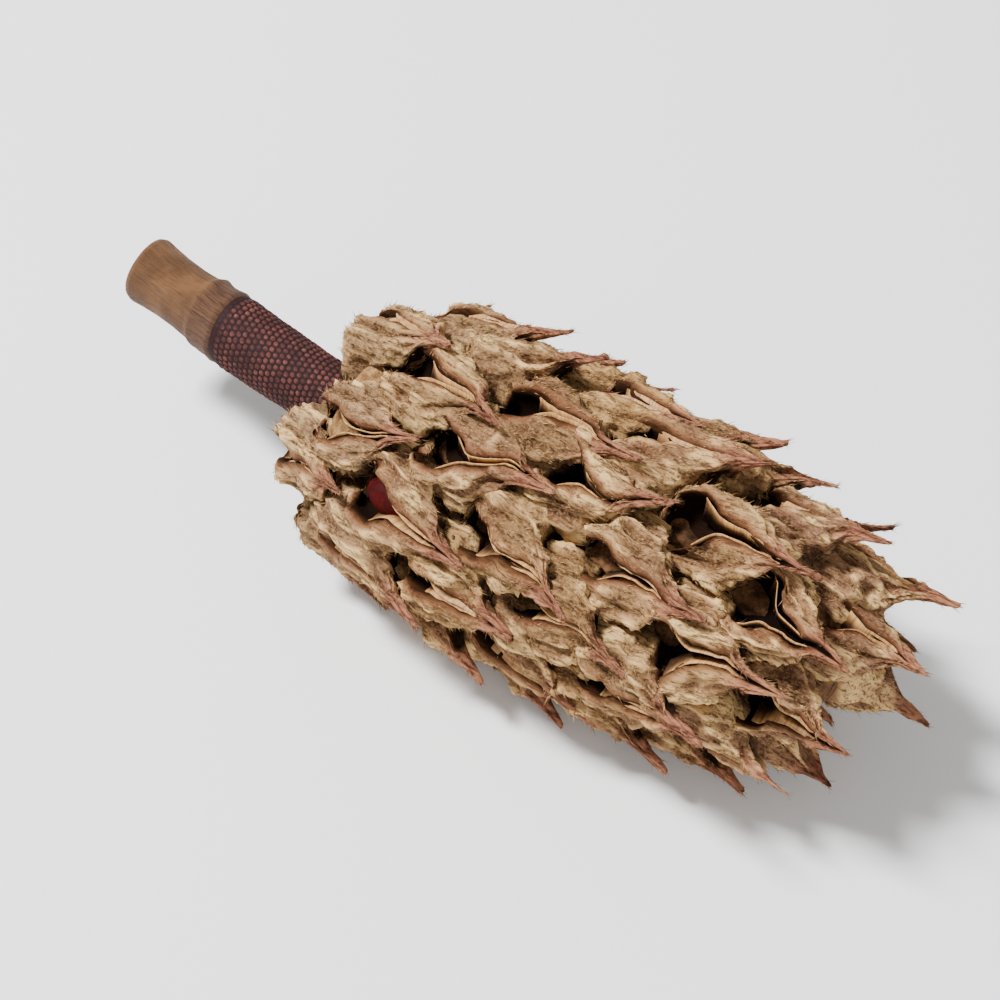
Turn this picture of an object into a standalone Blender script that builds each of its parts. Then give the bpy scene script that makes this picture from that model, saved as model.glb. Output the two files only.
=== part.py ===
"""A dried magnolia seed pod lying on its side: a cut stalk, its scar zone and a head of split follicles.

Metres, +Z up. +X runs along the pod from the cut stalk to the tip. The origin is on the surface that the pod
rests on, below the middle of its length and width.
"""

import math

import bmesh
import bpy
import numpy as np
from mathutils import Matrix, Vector

MM = 0.001

# Where the pod lies: the point on its axis where the stalk leaves the head, above the resting surface.
POD_START = Vector((-23.0, -0.1, 19.3)) * MM

# The core that the follicles grow from is a blunt turned body, rounder at its tip than at the stalk.
CORE_LENGTH = 75 * MM
CORE_RADIUS = 11.7 * MM
BASE_BLUNTNESS = 3.6
TIP_BLUNTNESS = 2.3
CORE_TAPER = 0.10
CORE_SIDES = 12
CORE_RINGS = 10
RIM_RADIUS = 5.5 * MM
# How far the woolly tissue between the follicles stands out of the core.
FILL_HEIGHT = 1.9 * MM
# The woolly shoulder round the stalk: how far it stands out of the core, where, and how far it spreads.
SHOULDER_HEIGHT = 5.0 * MM
SHOULDER_AT = 4.5 * MM
SHOULDER_SPREAD = 5.0 * MM

# The follicles stand in a spiral, one golden angle apart, each taking the same share of the surface.
FOLLICLES = 60
GOLDEN_ANGLE = math.radians(137.508)
FIRST_ANGLE = math.radians(160.4)
MID_HEIGHT = 4.5 * MM
# Along the head, from the stalk to the tip: a follicle's lean forward, its size, and how far it has split.
LEAN_ALONG = ((0, 0.12, 0.8, 1), (0.65, 1.1, 1.1, 2.6))
SIZE_ALONG = ((0, 0.12, 0.5, 0.85, 1), (0.88, 0.97, 1.0, 0.98, 0.84))
GAPE_ALONG = ((0, 0.15, 0.7, 1), (0.6, 0.95, 1.05, 1.3))
# How far one follicle may differ from another: angles in radians, beak_lift, beak_side and sway in
# millimetres, the rest as shares.
RANDOM_SEED = 11
VARIATIONS = {
    "yaw": math.radians(11),
    "roll": math.radians(11),
    "length": 0.10,
    "width": 0.10,
    "height": 0.07,
    "gape": 0.30,
    "beak_lift": 1.5,
    "beak_side": 2.4,
    "sway": 1.1,
    "sway_phase": math.pi,
}

# A follicle from its back end to the tip of its beak, in millimetres: where its top line runs (forward,
# outward), where its underside runs (forward, outward), half width, half width of the split, its depth.
FOLLICLE_STATIONS = (
    (0.0, 3.2, 0.6, 0.6, 0.0, 0.00, 0.0),
    (0.5, 6.6, 1.8, -2.6, 5.0, 2.50, 5.0),
    (3.6, 8.3, 4.2, -3.0, 6.7, 2.30, 6.2),
    (8.0, 8.8, 7.0, -3.0, 6.5, 0.60, 5.2),
    (12.0, 9.2, 10.0, -2.2, 4.3, 0.42, 3.8),
    (15.2, 9.8, 14.0, 7.0, 1.5, 0.20, 0.7),
    (20.8, 10.9, 20.8, 10.9, 0.0, 0.00, 0.0),
)
BODY_MIDDLE = 7.6
# The lip's crest lies this share of the way from the split to the flank, and its inner edge this much lower.
LIP_SHARE = 0.45
LIP_DROP = 0.35
MOST_SPLIT = 0.6
# Shares of a cross section's height, and of its half width there: its flat foot, its flank and its cheek.
FOOT_SHARE = 0.2
FOOT_WIDTH = 0.86
FLANK_SHARE = 0.6
CHEEK_SHARE = 0.86
CHEEK_WIDTH = 0.87
# From this share of the length on, the follicle is beak, which may lean up and to a side.
BEAK_START = 0.6
FULL_HALF_WIDTH = 4.0
FULL_BEAK_HEIGHT = 4.0

# Sections that would reach the resting surface are bent up to it, and what bites into it is cut flat.
FLOOR_BAND = 2.5 * MM
FLOOR_BITE = 0.8 * MM

# The stalk, from the head back to its cut end. It bends towards +Y and +Z.
SCAR_LENGTH = 23.5 * MM
COLLAR_LENGTH = 3.8 * MM
PEDUNCLE_LENGTH = 13.0 * MM
SOCKET_DEPTH = 5.0 * MM
JOIN_GAP = 0.3 * MM
SCAR_HEAD_RADIUS = 4.5 * MM
SCAR_COLLAR_RADIUS = 5.1 * MM
STALK_BEND = Vector((0, 3.2, 2.6)) * MM
BEND_POWER = 1.3
STALK_SIDES = 24
SCARS_ROUND = 18
SCAR_ROWS = 17
SCAR_HEIGHT = 0.35 * MM
SOCKET_REACH = 9.6 * MM

# The peduncle with its collar: shares of its length from the scar zone on, and radii in millimetres.
PEDUNCLE_PROFILE = (
    (0.00, 5.10),
    (0.03, 5.35),
    (0.09, 5.20),
    (0.19, 5.15),
    (0.25, 5.25),
    (0.31, 4.80),
    (0.48, 4.60),
    (0.68, 4.60),
    (0.84, 4.75),
    (0.95, 4.95),
    (1.00, 4.65),
)
CUT_SLANT = 0.16

# Red seeds held in their follicles, each with the number of its follicle.
SEED_FOLLICLES = {"seed_a": 15, "seed_b": 30, "seed_c": 47}
SEED_HALF = Vector((3.9, 2.4, 2.1)) * MM
SEED_PLACE = Vector((5.2, 0.0, 5.4))
SEED_GAPE = 1.5
SEED_WIDTH = 1.05
SEED_GAP = 0.35 * MM
SEED_SEGMENTS = 12
SEED_RINGS = 8

# Follicles that have opened further than their neighbours: gape, and how far and where the slit sways.
OPEN_FOLLICLES = {
    20: (1.3, 1.9, 2.4),
    33: (1.3, 1.3, 0.6),
    46: (1.7, 0.9, 5.0),
    49: (2.0, 1.3, 3.6),
    54: (2.3, 1.0, 0.9),
    57: (2.5, 0.8, 4.2),
}

FLAT_ANGLE = math.radians(4)
SHARP_ANGLE = math.radians(40)
# Principled colour and roughness of each sub-part.
FINISHES = {
    "peduncle": ((0.42, 0.25, 0.14), 0.75),
    "scar_zone": ((0.075, 0.035, 0.035), 0.60),
    "follicle_head": ((0.47, 0.34, 0.21), 0.90),
    "seed": ((0.45, 0.03, 0.03), 0.40),
}


def meridian():
    """The core's outline: distances along the axis and radii, from the stalk's rim to the tip."""
    turn = np.linspace(0, math.pi, 721)
    along, out = np.cos(turn), np.abs(np.sin(turn))
    power = 2 / np.where(along > 0, BASE_BLUNTNESS, TIP_BLUNTNESS)
    x = CORE_LENGTH / 2 * (1 - np.sign(along) * np.abs(along) ** power)
    r = CORE_RADIUS * out**power * (1 - CORE_TAPER * (x / CORE_LENGTH - 0.5))
    kept = (x > CORE_LENGTH / 2) | (r > RIM_RADIUS)
    return x[kept], r[kept]


def layout():
    """Each follicle as a dict: its frame (origin, forward, outward), its size and its own variations."""
    draw = np.random.default_rng(RANDOM_SEED)
    x, r = meridian()
    step = np.hypot(np.diff(x), np.diff(r))
    area = np.concatenate([[0], np.cumsum(step * (r[1:] + r[:-1] + 2 * MID_HEIGHT))])
    heading = np.unwrap(np.arctan2(np.gradient(r), np.gradient(x)))
    found = []
    for k in range(FOLLICLES):
        share = (k + 0.5) / FOLLICLES
        here_x, here_r, turn = (np.interp(share * area[-1], area, v) for v in (x, r, heading))
        lean = float(np.interp(share, *LEAN_ALONG))
        forward = Vector((math.cos(turn) + lean, 0, math.sin(turn))).normalized()
        spin = Matrix.Rotation(FIRST_ANGLE + k * GOLDEN_ANGLE, 3, "X")
        f = {
            "number": k,
            "origin": spin @ Vector((here_x, 0, here_r)),
            "forward": spin @ forward,
            "outward": spin @ Vector((-forward.z, 0, forward.x)),
            "size": float(np.interp(share, *SIZE_ALONG)),
        }
        for name, spread in VARIATIONS.items():
            f[name] = spread * draw.uniform(-1, 1)
        for name in ("length", "width", "height", "gape"):
            f[name] += 1
        f["gape"] *= float(np.interp(share, *GAPE_ALONG))
        found.append(f)
    for number, (gape, sway, phase) in OPEN_FOLLICLES.items():
        found[number].update({"gape": gape, "sway": sway, "sway_phase": phase})
    for number in SEED_FOLLICLES.values():
        found[number].update({"gape": SEED_GAPE, "sway": 0.0, "width": SEED_WIDTH})
    return found


def follicle_frame(f):
    """The matrix from the follicle's own millimetres to the pod's metres."""
    across = f["outward"].cross(f["forward"])
    axes = Matrix((f["forward"], across, f["outward"])).transposed()
    turn = Matrix.Rotation(f["yaw"], 3, "Z") @ Matrix.Rotation(f["roll"], 3, "X")
    scale = Matrix.Diagonal((f["size"] * MM,) * 3)
    frame = (axes @ turn @ scale).to_4x4()
    return Matrix.Translation(f["origin"]) @ frame @ Matrix.Translation((-BODY_MIDDLE, 0, 0))


def section(f, t, values):
    """Follicle f's cross section at share t of its length, as a closed polygon of points in millimetres."""
    top_s, top_h, low_s, low_h, half, split, depth = values
    beak = max(0.0, t - BEAK_START) / (1 - BEAK_START)
    lift = f["beak_lift"] * beak**1.5
    side = f["beak_side"] * beak**2
    sway = f["sway"] * math.sin(2 * math.pi * t + f["sway_phase"]) * min(1, half / FULL_HALF_WIDTH)
    above = min(1.0, max(0.0, low_h) / FULL_BEAK_HEIGHT)
    top = Vector((top_s * f["length"], side, top_h * f["height"] + lift))
    low = Vector((low_s * f["length"], side, low_h + lift * above))
    rise = top - low
    tall = max(rise.length, 1e-6)
    half *= f["width"]
    split = min(split * f["gape"], half * MOST_SPLIT)
    crest = split + LIP_SHARE * (half - split)
    outline = [(FOOT_SHARE, FOOT_WIDTH * half), (FLANK_SHARE, half), (CHEEK_SHARE, CHEEK_WIDTH * half)]
    outline += [(1, sway + crest), (1 - LIP_DROP / tall, sway + split)]
    outline += [(1 - (depth + LIP_DROP) / tall, sway)]
    outline += [(1 - LIP_DROP / tall, sway - split), (1, sway - crest)]
    outline += [(CHEEK_SHARE, -CHEEK_WIDTH * half), (FLANK_SHARE, -half), (FOOT_SHARE, -FOOT_WIDTH * half)]
    return [low + rise * v + Vector((0, w, 0)) for v, w in outline]


def settled(ring):
    """The ring of points, moved up where it would reach below the resting surface."""
    lowest = min(p.z for p in ring) + POD_START.z
    if lowest >= FLOOR_BAND:
        return ring
    eased = (FLOOR_BAND + FLOOR_BITE) * math.exp(lowest / FLOOR_BAND - 1) - FLOOR_BITE
    return [p + Vector((0, 0, eased - lowest)) for p in ring]


def loft(name, rings, first=None, last=None):
    """A closed mesh of triangles through rings of points, its ends the points first and last or flat caps."""
    points = [p for ring in rings for p in ring]
    count = len(rings[0])
    faces = []
    for start in range(0, len(points) - count, count):
        for j in range(count):
            a, b = start + j, start + (j + 1) % count
            faces.append((a, b, b + count, a + count))
    for end, start in ((first, 0), (last, len(points) - count)):
        if end is None:
            faces.append(tuple(range(start, start + count)))
        else:
            faces.extend((start + j, start + (j + 1) % count, len(points)) for j in range(count))
            points.append(end)
    mesh = bpy.data.meshes.new(name)
    mesh.from_pydata([tuple(p) for p in points], [], faces)
    made = bmesh.new()
    made.from_mesh(mesh)
    bmesh.ops.triangulate(made, faces=made.faces)
    bmesh.ops.recalc_face_normals(made, faces=made.faces)
    made.to_mesh(mesh)
    made.free()
    return mesh


def follicle_mesh(f):
    """One follicle, its root sunk in the core and its split open along the top."""
    frame = follicle_frame(f)
    last = len(FOLLICLE_STATIONS) - 1
    rings = [
        settled([frame @ p for p in section(f, i / last, values)])
        for i, values in enumerate(FOLLICLE_STATIONS)
    ]
    return loft("follicle", rings[1:-1], first=rings[0][0], last=rings[-1][0])


def turned_ring(centre, radius, sides, phase=0.0):
    """A ring of points round a centre, in a plane across the pod's axis. The radius may be one per point."""
    radii = np.broadcast_to(radius, sides)
    turns = [2 * math.pi * (j + phase) / sides for j in range(sides)]
    return [Vector(centre) + Vector((0, a * math.sin(t), a * math.cos(t))) for a, t in zip(radii, turns)]


def core_mesh():
    """The turned core with its shoulder, flat at the stalk's end and closed at the tip."""
    x, r = meridian()
    shoulder = SHOULDER_HEIGHT * np.exp(-(((x - SHOULDER_AT) / SHOULDER_SPREAD) ** 2))
    r = r + np.maximum(FILL_HEIGHT, shoulder)
    at = np.linspace(0, len(x) - 1, CORE_RINGS).astype(int)
    rings = [turned_ring((x[i], 0, 0), r[i], CORE_SIDES) for i in at[:-1]]
    return loft("core", rings, last=Vector((x[-1], 0, 0)))


def stalk_centre(back):
    """The point on the stalk's centre line at a distance back from the head's end, or inside the head."""
    share = max(0.0, back) / (SCAR_LENGTH + COLLAR_LENGTH + PEDUNCLE_LENGTH)
    return Vector((-back, 0, 0)) + STALK_BEND * share**BEND_POWER


def scar_mesh():
    """The scar zone: a tube set in the head, covered outside it with staggered rows of small raised scars."""
    sides = 2 * SCARS_ROUND
    rows = 2 * SCAR_ROWS
    rings = [turned_ring((SOCKET_DEPTH, 0, 0), SCAR_HEAD_RADIUS, sides)]
    for i in range(rows + 1):
        share = i / rows
        radius = SCAR_HEAD_RADIUS + (SCAR_COLLAR_RADIUS - SCAR_HEAD_RADIUS) * share
        inside = 0 < i < rows and i % 2 == 1
        raised = [
            SCAR_HEIGHT if inside and j % 2 == (i // 2) % 2 else 0.0 for j in range(sides)
        ]
        rings.append(
            turned_ring(stalk_centre(share * SCAR_LENGTH), np.add(radius, raised), sides)
        )
    return loft("scar_zone", rings)


def peduncle_mesh():
    """The cut stalk with its collar, the cut end a little flared and slanted."""
    length = COLLAR_LENGTH + PEDUNCLE_LENGTH - JOIN_GAP
    rings = []
    for share, radius in PEDUNCLE_PROFILE:
        ring = turned_ring(
            stalk_centre(SCAR_LENGTH + JOIN_GAP + share * length), radius * MM, STALK_SIDES
        )
        middle = stalk_centre(SCAR_LENGTH + JOIN_GAP + share * length).z
        rings.append([p + Vector((CUT_SLANT * share**4 * (p.z - middle), 0, 0)) for p in ring])
    return loft("peduncle", rings)


def socket_mesh():
    """The room that the stalk takes in the head, with the gap round it."""
    radius = SCAR_HEAD_RADIUS + SCAR_HEIGHT + JOIN_GAP
    backs = (-SOCKET_DEPTH - JOIN_GAP, 0.0, SOCKET_REACH / 2, SOCKET_REACH)
    return loft("socket", [turned_ring(stalk_centre(b), radius, STALK_SIDES) for b in backs])


def seed_mesh(grown=0.0):
    """A seed, or the room for it when grown."""
    made = bmesh.new()
    size = Matrix.Diagonal([half + grown for half in SEED_HALF]).to_4x4()
    along = size @ Matrix.Rotation(math.radians(90), 4, "Y")
    bmesh.ops.create_uvsphere(
        made, u_segments=SEED_SEGMENTS, v_segments=SEED_RINGS, radius=1.0, matrix=along
    )
    bmesh.ops.triangulate(made, faces=made.faces)
    mesh = bpy.data.meshes.new("seed")
    made.to_mesh(mesh)
    made.free()
    return mesh


def seed_place(f):
    """Where a seed lies in its follicle, as a matrix with no scale."""
    frame = follicle_frame(f) @ Matrix.Translation(SEED_PLACE)
    place, turn, _ = frame.decompose()
    return Matrix.LocRotScale(place, turn, None)


def ground_mesh():
    """A block with its top at the resting surface."""
    back, front = -CORE_LENGTH, 2 * CORE_LENGTH
    top = -POD_START.z
    corners = [(back, back), (front, back), (front, CORE_LENGTH), (back, CORE_LENGTH)]
    rings = [[Vector((x, y, z)) for x, y in corners] for z in (top - CORE_LENGTH, top)]
    return loft("ground", rings)


def apply_boolean(target, operation, operand, solver="EXACT"):
    """Joins or cuts the target by an object or a collection, and keeps the result as the target's mesh."""
    modifier = target.modifiers.new("boolean", "BOOLEAN")
    modifier.operation = operation
    modifier.solver = solver
    if isinstance(operand, bpy.types.Collection):
        modifier.operand_type = "COLLECTION"
        modifier.collection = operand
    else:
        modifier.object = operand
    graph = bpy.context.evaluated_depsgraph_get()
    target.data = bpy.data.meshes.new_from_object(target.evaluated_get(graph))
    target.modifiers.clear()


def cut(target, mesh, place=None):
    """Cuts a mesh out of the target."""
    cutter = add_object("cutter", mesh)
    if place is not None:
        cutter.matrix_world = place
    apply_boolean(target, "DIFFERENCE", cutter)
    bpy.data.objects.remove(cutter)


def keep_largest(mesh):
    """Drops loose scraps and sealed hollows: every set of joined faces but the largest."""
    made = bmesh.new()
    made.from_mesh(mesh)
    left = set(made.faces)
    groups = []
    while left:
        group = [left.pop()]
        for face in group:
            near = {other for edge in face.edges for other in edge.link_faces} & left
            left -= near
            group.extend(near)
        groups.append(group)
    groups.sort(key=len)
    for group in groups[:-1]:
        bmesh.ops.delete(made, geom=group, context="FACES")
    made.to_mesh(mesh)
    made.free()


def merge_flat(mesh):
    """Joins faces that lie in almost one plane, and splits the result into triangles."""
    made = bmesh.new()
    made.from_mesh(mesh)
    bmesh.ops.dissolve_limit(made, angle_limit=FLAT_ANGLE, verts=made.verts, edges=made.edges)
    bmesh.ops.triangulate(made, faces=made.faces)
    made.to_mesh(mesh)
    made.free()


def add_object(name, mesh, collection=None):
    made = bpy.data.objects.new(name, mesh)
    (collection or bpy.context.scene.collection).objects.link(made)
    return made


def finish(target, kind):
    """Gives the object its material and smooth shading with sharp creases."""
    colour, roughness = FINISHES[kind]
    material = bpy.data.materials.get(kind) or bpy.data.materials.new(kind)
    material.use_nodes = True
    shader = material.node_tree.nodes["Principled BSDF"]
    shader.inputs["Base Color"].default_value = (*colour, 1)
    shader.inputs["Roughness"].default_value = roughness
    target.data.materials.clear()
    target.data.materials.append(material)
    target.data.shade_smooth()
    target.data.set_sharp_from_angle(angle=SHARP_ANGLE)


def grow_head(follicles):
    """The head: the follicles joined to the core, cut flat below, with room for the stalk and the seeds."""
    head = add_object("follicle_head", core_mesh())
    grown = bpy.data.collections.new("follicles")
    bpy.context.scene.collection.children.link(grown)
    for f in follicles:
        add_object(f"follicle_{f['number']}", follicle_mesh(f), grown)
    apply_boolean(head, "UNION", grown, "MANIFOLD")
    for joined in list(grown.objects):
        bpy.data.objects.remove(joined)
    bpy.data.collections.remove(grown)
    cut(head, socket_mesh())
    cut(head, ground_mesh())
    for number in SEED_FOLLICLES.values():
        cut(head, seed_mesh(SEED_GAP), seed_place(follicles[number]))
    keep_largest(head.data)
    merge_flat(head.data)
    return head


def main():
    for old in list(bpy.data.objects):
        bpy.data.objects.remove(old)
    follicles = layout()
    made = {
        "follicle_head": grow_head(follicles),
        "scar_zone": add_object("scar_zone", scar_mesh()),
        "peduncle": add_object("peduncle", peduncle_mesh()),
    }
    for name, number in SEED_FOLLICLES.items():
        made[name] = add_object(name, seed_mesh())
        made[name].matrix_world = seed_place(follicles[number])
    pod = add_object("pod", None)
    pod.location = POD_START
    for name, piece in made.items():
        piece.parent = pod
        finish(piece, "seed" if name in SEED_FOLLICLES else name)


main()
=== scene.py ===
"""The looks of a dried magnolia seed pod: a spiral of split, beaked follicles, linings, seeds and stalk.

Metres, +Z up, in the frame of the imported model. Sizes of a single follicle are in its own millimetres.
"""

import math

import bmesh
import bpy
import numpy as np
from mathutils import Matrix, Vector


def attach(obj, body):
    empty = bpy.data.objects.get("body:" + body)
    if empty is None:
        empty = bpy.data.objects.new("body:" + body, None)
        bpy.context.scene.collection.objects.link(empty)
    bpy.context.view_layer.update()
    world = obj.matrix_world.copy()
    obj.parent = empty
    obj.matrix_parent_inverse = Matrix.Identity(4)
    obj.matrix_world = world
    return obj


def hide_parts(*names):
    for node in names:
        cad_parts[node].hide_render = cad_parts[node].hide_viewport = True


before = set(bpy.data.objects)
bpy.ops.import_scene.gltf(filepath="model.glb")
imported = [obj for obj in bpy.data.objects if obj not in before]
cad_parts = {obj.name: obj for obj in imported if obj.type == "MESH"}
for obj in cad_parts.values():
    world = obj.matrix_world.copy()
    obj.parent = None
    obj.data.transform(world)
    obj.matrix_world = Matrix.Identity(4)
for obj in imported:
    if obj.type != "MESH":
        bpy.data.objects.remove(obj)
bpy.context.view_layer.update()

MM = 0.001

# Where the pod lies, its core and the spiral of its follicles, as in the solid model.
POD_START = np.array((-23.0, -0.1, 19.3)) * MM
CORE_LENGTH = 75 * MM
CORE_RADIUS = 11.7 * MM
# How far the woolly core reaches up between the follicles.
FILL_HEIGHT = 1.9 * MM
# Powers of the core's outline at its ends, higher for blunter, and how much it narrows along its length.
BASE_BLUNTNESS = 3.6
TIP_BLUNTNESS = 2.3
CORE_TAPER = 0.10
MERIDIAN_POINTS = 721
RIM_RADIUS = 5.5 * MM
# The woolly shoulder round the stalk: how far it stands out of the core, where, and how far it spreads.
SHOULDER_HEIGHT = 5.0 * MM
SHOULDER_AT = 4.5 * MM
SHOULDER_SPREAD = 5.0 * MM
FOLLICLES = 60
GOLDEN_ANGLE = math.radians(137.508)
FIRST_ANGLE = math.radians(160.4)
MID_HEIGHT = 4.5 * MM
# Shares of the head's length, and at each a follicle's lean forward, its size or how far it gapes.
LEAN_ALONG = ((0, 0.12, 0.8, 1), (0.65, 1.1, 1.1, 2.6))
SIZE_ALONG = ((0, 0.12, 0.5, 0.85, 1), (0.88, 0.97, 1.0, 0.98, 0.84))
GAPE_ALONG = ((0, 0.15, 0.7, 1), (0.6, 0.95, 1.05, 1.3))
RANDOM_SEED = 11
# How far follicles stray from the plain one: two angles, four shares, three lengths in millimetres, a phase.
VARIATIONS = {
    "yaw": math.radians(11),
    "roll": math.radians(11),
    "length": 0.10,
    "width": 0.10,
    "height": 0.07,
    "gape": 0.30,
    "beak_lift": 1.5,
    "beak_side": 2.4,
    "sway": 1.1,
    "sway_phase": math.pi,
}
# A follicle's stations, in its own millimetres: where its lips run (forward, outward), where its underside
# runs (forward, outward), half width, half width of the split, its depth.
FOLLICLE_STATIONS = (
    (0.0, 3.2, 0.6, 0.6, 0.0, 0.00, 0.0),
    (0.5, 6.6, 1.8, -2.6, 5.0, 2.50, 5.0),
    (3.6, 8.3, 4.2, -3.0, 6.7, 2.30, 6.2),
    (8.0, 8.8, 7.0, -3.0, 6.5, 0.60, 5.2),
    (12.0, 9.2, 10.0, -2.2, 4.3, 0.42, 3.8),
    (15.2, 9.8, 14.0, 7.0, 1.5, 0.20, 0.7),
    (20.8, 10.9, 20.8, 10.9, 0.0, 0.00, 0.0),
)
BODY_MIDDLE = 7.6
# The lip's crest lies this share of the way from the split to the flank, and its inner edge this much lower.
LIP_SHARE = 0.45
LIP_DROP = 0.35
# The split opens to this share of the half width at most. The beak starts at this share of the length.
MOST_SPLIT = 0.6
BEAK_START = 0.6
FULL_HALF_WIDTH = 4.0
FULL_BEAK_HEIGHT = 4.0
# Follicles lower than this are pressed up, and flat where they would still reach below the surface.
FLOOR_BAND = 2.5 * MM
FLOOR_BITE = 0.8 * MM
SCAR_LENGTH = 23.5 * MM
COLLAR_LENGTH = 3.8 * MM
PEDUNCLE_LENGTH = 13.0 * MM
SOCKET_DEPTH = 5.0 * MM
JOIN_GAP = 0.3 * MM
SCAR_HEAD_RADIUS = 4.5 * MM
SCAR_COLLAR_RADIUS = 5.1 * MM
SCAR_HEIGHT = 0.35 * MM
STALK_BEND = np.array((0, 3.2, 2.6)) * MM
BEND_POWER = 1.3
SEED_FOLLICLES = {"seed_a": 15, "seed_b": 30, "seed_c": 47}
SEED_HALF = Vector((3.9, 2.4, 2.1)) * MM
SEED_PLACE = Vector((5.2, 0.0, 5.4))
SEED_GAPE = 1.5
SEED_WIDTH = 1.05
# Follicles that stand out in the photograph: their gape, and how far and where in its wave the slit sways.
OPEN_FOLLICLES = {
    20: (1.3, 1.9, 2.4),
    33: (1.3, 1.3, 0.6),
    46: (1.7, 0.9, 5.0),
    49: (2.0, 1.3, 3.6),
    54: (2.3, 1.0, 0.9),
    57: (2.5, 0.8, 4.2),
}

# Shares of the cut stalk's length and its radius at each, in millimetres.
PEDUNCLE_PROFILE = (
    (0.00, 0.03, 0.09, 0.19, 0.25, 0.31, 0.48, 0.68, 0.84, 0.95, 1.00),
    (5.10, 5.35, 5.20, 5.15, 5.25, 4.80, 4.60, 4.60, 4.75, 4.95, 4.65),
)
CUT_SLANT = 0.16

# The stalk's finer grain: scars round it and along it, and how its surface is drawn.
SCARS_ROUND = 34
SCAR_ROWS = 26
POINTS_A_SCAR = 6
STALK_SIDES = 96
PEDUNCLE_RINGS = 70
CUT_RINGS = 10

# How finely a follicle is drawn: rings along it, and points between the control points of its cross section.
ALONG_COUNT = 60
AROUND_COUNTS = (2, 5, 7, 8, 6, 3, 2, 1)
BANDS = {
    "follicles_base": (0, 15),
    "follicles_lower": (15, 30),
    "follicles_upper": (30, 45),
    "follicles_tip": (45, 60),
}
BACK_ROUNDING = 2.3
LOOKS_SEED = 23
# How deep a beak forks, where it does, and how far one lip rises over the other, in millimetres.
FORK_RANGE = (-2.0, 2.2)
MOST_OVERLAP = 0.8


def linear(hex_colour):
    """A colour such as "b5a58c" as linear red, green and blue, and opaque."""
    parts = [int(hex_colour[i : i + 2], 16) / 255 for i in (0, 2, 4)]
    return (*(c / 12.92 if c <= 0.04045 else ((c + 0.055) / 1.055) ** 2.4 for c in parts), 1)


def value_noise(points, seed):
    """Smooth noise from -1 to 1, a bump to a unit, at points, an array whose last axis is x, y and z."""
    cell = np.floor(points).astype(np.int64)
    s = points - cell
    s = s * s * (3 - 2 * s)
    total = np.zeros(points.shape[:-1])
    for corner in np.ndindex(2, 2, 2):
        mixed = ((cell + corner) * (73856093, 19349663, 83492791)).sum(-1) + seed * 2654435761
        mixed = (mixed ^ (mixed >> 13)) * 1274126177
        value = ((mixed ^ (mixed >> 16)) & 0xFFFF) / 32767.5 - 1
        total += value * np.prod(np.where(corner, s, 1 - s), axis=-1)
    return total


def line_noise(at, seed, row):
    """Smooth noise along one line, a different line for each row."""
    at = np.asarray(at, float)
    return value_noise(np.stack([at, 0 * at + row * 7.31, 0 * at + 0.5], -1), seed)


def waves(table, along, seed):
    """Line noise at distances along a follicle, from a table of the waves' heights, lengths and rows."""
    return sum(height * line_noise(along / length, seed, row) for height, length, row in table)


RIDGE_POWER = 0.6


def ridged(points, seed):
    """Noise from -1 to 1 with sharp ridges."""
    return 1 - 2 * np.abs(value_noise(points, seed)) ** RIDGE_POWER


def fade_in(value, start, width):
    """0 up to the start, and 1 from a width beyond it."""
    return np.clip((value - start) / width, 0, 1)


def fade_out(value, end, width):
    """1 up to a width before the end, and 0 from the end."""
    return np.clip((end - value) / width, 0, 1)


def meridian():
    """The core's outline: distances along the axis and radii, from the stalk's rim to the tip."""
    turn = np.linspace(0, math.pi, MERIDIAN_POINTS)
    along, out = np.cos(turn), np.abs(np.sin(turn))
    power = 2 / np.where(along > 0, BASE_BLUNTNESS, TIP_BLUNTNESS)
    x = CORE_LENGTH / 2 * (1 - np.sign(along) * np.abs(along) ** power)
    r = CORE_RADIUS * out**power * (1 - CORE_TAPER * (x / CORE_LENGTH - 0.5))
    kept = (x > CORE_LENGTH / 2) | (r > RIM_RADIUS)
    return x[kept], r[kept]


def layout():
    """Each follicle as a dict: its frame (origin, forward, outward), its size and its own variations."""
    draw = np.random.default_rng(RANDOM_SEED)
    x, r = meridian()
    step = np.hypot(np.diff(x), np.diff(r))
    area = np.concatenate([[0], np.cumsum(step * (r[1:] + r[:-1] + 2 * MID_HEIGHT))])
    heading = np.unwrap(np.arctan2(np.gradient(r), np.gradient(x)))
    found = []
    for k in range(FOLLICLES):
        share = (k + 0.5) / FOLLICLES
        here_x, here_r, turn = (np.interp(share * area[-1], area, v) for v in (x, r, heading))
        lean = float(np.interp(share, *LEAN_ALONG))
        forward = Vector((math.cos(turn) + lean, 0, math.sin(turn))).normalized()
        spin = Matrix.Rotation(FIRST_ANGLE + k * GOLDEN_ANGLE, 3, "X")
        f = {
            "number": k,
            "share": share,
            "origin": spin @ Vector((here_x, 0, here_r)),
            "forward": spin @ forward,
            "outward": spin @ Vector((-forward.z, 0, forward.x)),
            "size": float(np.interp(share, *SIZE_ALONG)),
        }
        for name, spread in VARIATIONS.items():
            f[name] = spread * draw.uniform(-1, 1)
        for name in ("length", "width", "height", "gape"):
            f[name] += 1
        f["gape"] *= float(np.interp(share, *GAPE_ALONG))
        found.append(f)
    for number, (gape, sway, phase) in OPEN_FOLLICLES.items():
        found[number].update({"gape": gape, "sway": sway, "sway_phase": phase})
    for number in SEED_FOLLICLES.values():
        found[number].update({"gape": SEED_GAPE, "sway": 0.0, "width": SEED_WIDTH})
    looks = np.random.default_rng(LOOKS_SEED)
    for f in found:
        f["tone"] = looks.uniform()
        f["fork"] = max(0.0, looks.uniform(*FORK_RANGE))
        f["overlap"] = looks.uniform(-MOST_OVERLAP, MOST_OVERLAP)
    return found


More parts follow.
